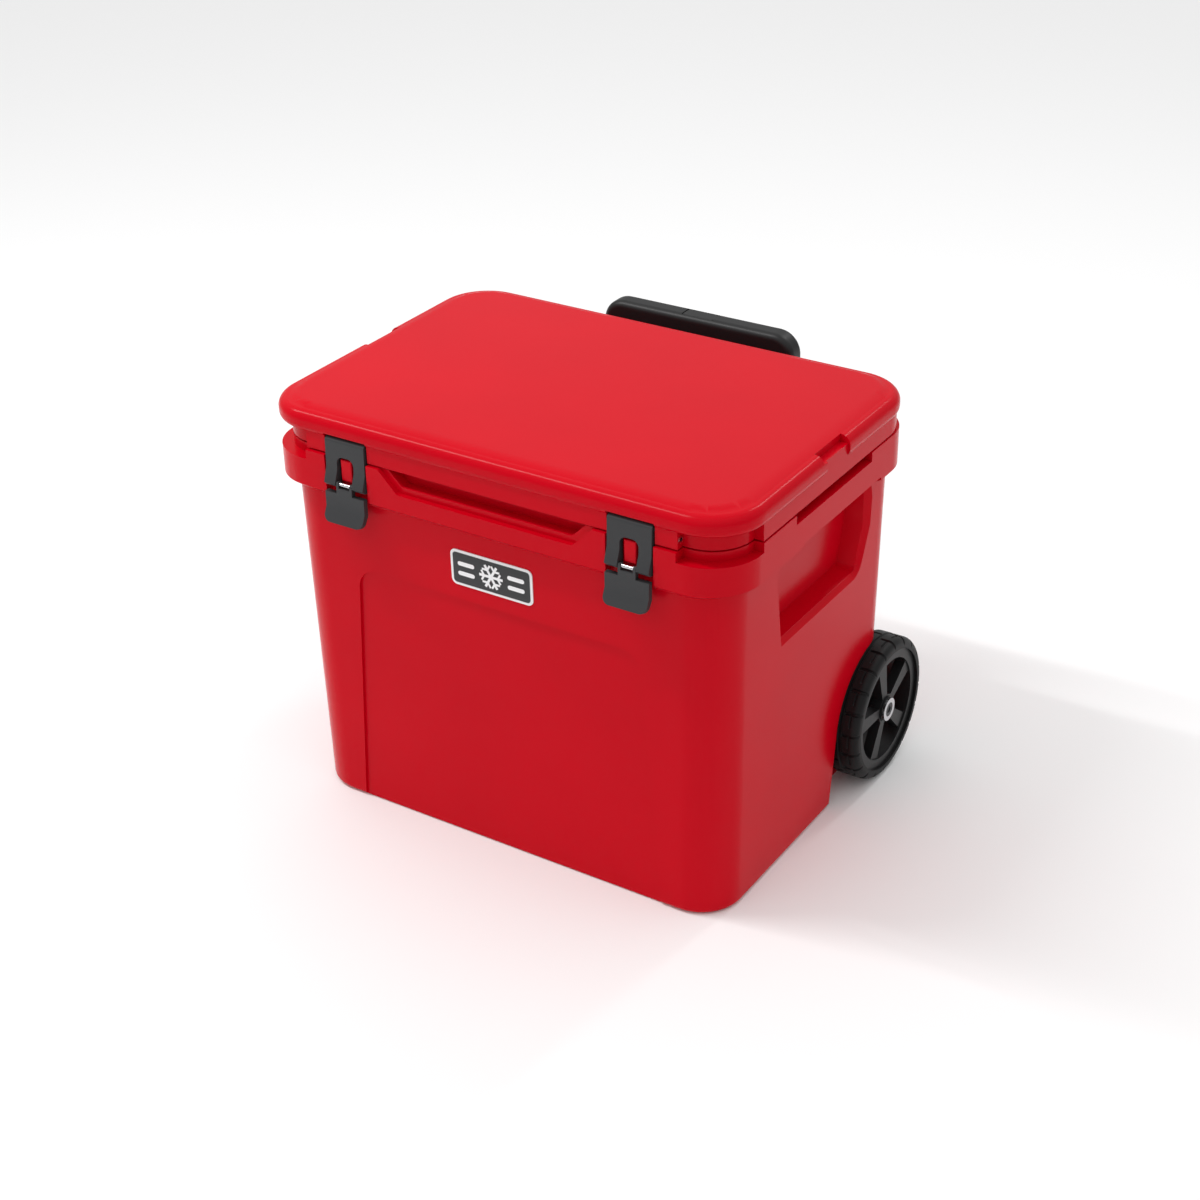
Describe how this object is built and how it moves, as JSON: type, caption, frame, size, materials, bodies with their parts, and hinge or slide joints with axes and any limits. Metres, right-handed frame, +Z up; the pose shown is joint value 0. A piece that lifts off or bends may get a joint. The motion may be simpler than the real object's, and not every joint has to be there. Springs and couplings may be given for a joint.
{
  "type": "wheeled cooler chest",
  "caption": "Hard-sided insulated chest with a hinged lid, pull latches, side hand grips, rear wheels and a telescoping tow handle.",
  "frame": {"origin": "on the floor under the middle of the lid, on the tub's base", "axes": "+X to the right of someone facing the latches, +Y to the rear where the wheels and tow handle are, +Z up"},
  "size_m": [0.62, 0.491, 0.515],
  "materials": {
    "red_shell": "semi-gloss moulded polyethylene, very fine texture",
    "foam": "rigid closed-cell polyurethane foam",
    "gasket_rubber": "soft matt rubber",
    "badge_border": "white satin plate",
    "badge_field": "charcoal satin inlay",
    "latch_polymer": "matt charcoal elastomer",
    "pin_steel": "bright steel",
    "dark_bolt": "blackened steel",
    "black_polymer": "matt black nylon",
    "grip_polymer": "satin black grip",
    "slide_polymer": "dark self-lubricating polymer",
    "tube_aluminium": "black anodised tube",
    "wheel_polymer": "moulded black nylon",
    "tyre": "solid rubber with block tread"
  },
  "bodies": {
    "tub": {"tub_shell": "red_shell", "tub_foam": "foam", "badge_plate": "badge_border", "badge_inlay": "badge_field", "badge_emblem": "badge_border", "drain_body": "black_polymer", "drain_gasket": "gasket_rubber", "axle": "pin_steel", "axle_sleeve": "slide_polymer", "axle_washers": "pin_steel", "axle_end_rings": "pin_steel", "axle_bolts": "dark_bolt", "bracket_lower": "black_polymer", "bracket_upper": "black_polymer", "bracket_screws": "dark_bolt", "outer_tube_left": "tube_aluminium", "outer_tube_right": "tube_aluminium", "outer_guide_left": "slide_polymer", "outer_guide_right": "slide_polymer"},
    "lid": {"lid_shell": "red_shell", "lid_foam": "foam", "lid_gasket": "gasket_rubber", "hinge_pins": "pin_steel", "padlock_eyes": "pin_steel", "latch_pivots": "pin_steel"},
    "strap_left": {"latch_strap_left": "latch_polymer", "latch_pin_left": "pin_steel"},
    "strap_right": {"latch_strap_right": "latch_polymer", "latch_pin_right": "pin_steel"},
    "lever_left": {"latch_lever_left": "latch_polymer"},
    "lever_right": {"latch_lever_right": "latch_polymer"},
    "wheel_left": {"wheel_hub_left": "wheel_polymer", "wheel_bushing_left": "slide_polymer", "tyre_left": "tyre"},
    "wheel_right": {"wheel_hub_right": "wheel_polymer", "wheel_bushing_right": "slide_polymer", "tyre_right": "tyre"},
    "drain_plug": {"drain_cap": "black_polymer"},
    "handle_middle": {"middle_tube_left": "tube_aluminium", "middle_tube_right": "tube_aluminium", "middle_shoe_left": "slide_polymer", "middle_shoe_right": "slide_polymer", "middle_guide_left": "slide_polymer", "middle_guide_right": "slide_polymer"},
    "handle_top": {"top_tube_left": "tube_aluminium", "top_tube_right": "tube_aluminium", "top_shoe_left": "slide_polymer", "top_shoe_right": "slide_polymer", "grip_front": "grip_polymer", "grip_rear": "grip_polymer", "button_spring": "pin_steel"},
    "release": {"release_button": "black_polymer", "release_yoke": "black_polymer", "push_rods": "pin_steel"},
    "lock_pin_left": {"lock_pin_left": "pin_steel"},
    "lock_pin_right": {"lock_pin_right": "pin_steel"}
  },
  "joints": [
    {"name": "lid_hinge", "type": "hinge", "parent": "tub", "child": "lid", "pos_m": [0, 0.203, 0.489], "axis": [-1, 0, 0], "range_deg": [0, 90]},
    {"name": "strap_left_hinge", "type": "hinge", "parent": "lid", "child": "strap_left", "pos_m": [-0.1845, -0.205, 0.484], "axis": [-1, 0, 0], "range_deg": [0, 95]},
    {"name": "lever_left_hinge", "type": "hinge", "parent": "strap_left", "child": "lever_left", "pos_m": [-0.1845, -0.213, 0.436], "axis": [-1, 0, 0], "range_deg": [0, 60]},
    {"name": "wheel_left_spin", "type": "hinge", "parent": "tub", "child": "wheel_left", "pos_m": [-0.285, 0.177, 0.091], "axis": [1, 0, 0], "continuous": true},
    {"name": "strap_right_hinge", "type": "hinge", "parent": "lid", "child": "strap_right", "pos_m": [0.1845, -0.205, 0.484], "axis": [-1, 0, 0], "range_deg": [0, 95]},
    {"name": "lever_right_hinge", "type": "hinge", "parent": "strap_right", "child": "lever_right", "pos_m": [0.1845, -0.213, 0.436], "axis": [-1, 0, 0], "range_deg": [0, 60]},
    {"name": "wheel_right_spin", "type": "hinge", "parent": "tub", "child": "wheel_right", "pos_m": [0.285, 0.177, 0.091], "axis": [1, 0, 0], "continuous": true},
    {"name": "handle_lower_slide", "type": "slide", "parent": "tub", "child": "handle_middle", "axis": [0, 0, 1], "range_m": [0, 0.235]},
    {"name": "handle_upper_slide", "type": "slide", "parent": "handle_middle", "child": "handle_top", "axis": [0, 0, 1], "range_m": [0, 0.228]},
    {"name": "release_press", "type": "slide", "parent": "handle_top", "child": "release", "axis": [0, 0, -1], "range_m": [0, 0.0045], "stiffness_N_per_m": 800, "springref_m": -0.004, "deforming": ["button_spring"]},
    {"name": "lock_pin_left_slide", "type": "slide", "parent": "handle_top", "child": "lock_pin_left", "axis": [1, 0, 0], "range_m": [0, 0.0016]},
    {"name": "lock_pin_right_slide", "type": "slide", "parent": "handle_top", "child": "lock_pin_right", "axis": [-1, 0, 0], "range_m": [0, 0.0016]},
    {"name": "drain_turn", "type": "hinge", "parent": "tub", "child": "drain_plug", "pos_m": [-0.29, -0.11, 0.07], "axis": [-1, 0, 0], "range_deg": [0, 720]}
  ],
  "couplings": [
    {"joint": "lock_pin_left_slide", "follows": "release_press", "ratio": 0.3333},
    {"joint": "lock_pin_right_slide", "follows": "release_press", "ratio": 0.3333}
  ]
}
